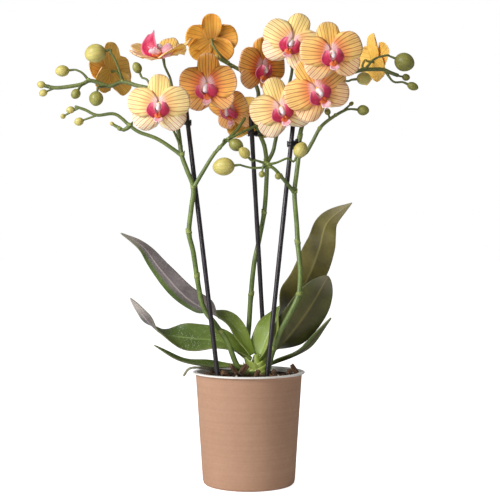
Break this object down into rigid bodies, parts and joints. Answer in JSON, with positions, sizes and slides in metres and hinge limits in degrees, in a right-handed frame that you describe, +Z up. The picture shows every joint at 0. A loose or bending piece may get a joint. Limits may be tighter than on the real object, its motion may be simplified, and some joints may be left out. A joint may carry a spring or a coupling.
{
  "type": "potted orchid",
  "caption": "Moth orchid in a tapered cover pot, with arching spikes of yellow blossoms and buds clipped to support sticks over strap leaves.",
  "frame": {"origin": "centre of the pot's base, on the surface that it stands on", "axes": "+Z up along the pot's axis, -Y towards the side that the front blossoms face, +X to the right seen from there"},
  "size_m": [0.3632, 0.1342, 0.4485],
  "materials": {
    "cover_pot": "matt, faintly banded, with a pale lip",
    "grow_pot": "smooth",
    "bark": "rough chips",
    "root": "dry, papery",
    "leaf": "leathery, half gloss",
    "stem": "smooth, waxy",
    "blossom": "soft petals with red veins and a magenta lip",
    "bud": "smooth, waxy",
    "stick": "smooth",
    "clip": "moulded"
  },
  "bodies": {
    "root": {"aerial_root": "root", "bark_mix": "bark", "blossom_centre_back": "blossom", "blossom_centre_left": "blossom", "blossom_centre_low": "blossom", "blossom_left_back": "blossom", "blossom_left_front": "blossom", "blossom_left_top": "blossom", "blossom_left_up": "blossom", "blossom_low_back": "blossom", "blossom_low_front": "blossom", "blossom_right_back": "blossom", "blossom_right_front": "blossom", "blossom_right_low": "blossom", "blossom_top": "blossom", "bud_centre_olive": "bud", "bud_centre_right": "bud", "bud_centre_small": "bud", "bud_centre_yellow": "bud", "bud_left_hanging": "bud", "bud_left_inner": "bud", "bud_left_large": "bud", "bud_left_near": "bud", "bud_left_upper": "bud", "bud_right_inner": "bud", "bud_right_large": "bud", "bud_right_lower": "bud", "bud_right_tip": "bud", "clip_left": "clip", "clip_middle": "clip", "clip_right": "clip", "cover_pot": "cover_pot", "crown": "leaf", "grow_pot": "grow_pot", "leaf_lower_left": "leaf", "leaf_lower_right": "leaf", "leaf_middle_left": "leaf", "leaf_middle_right": "leaf", "leaf_upper_left": "leaf", "leaf_upper_right": "leaf", "spike_left": "stem", "spike_middle": "stem", "spike_right": "stem", "stick_left": "stick", "stick_middle": "stick", "stick_right": "stick"}
  },
  "joints": []
}
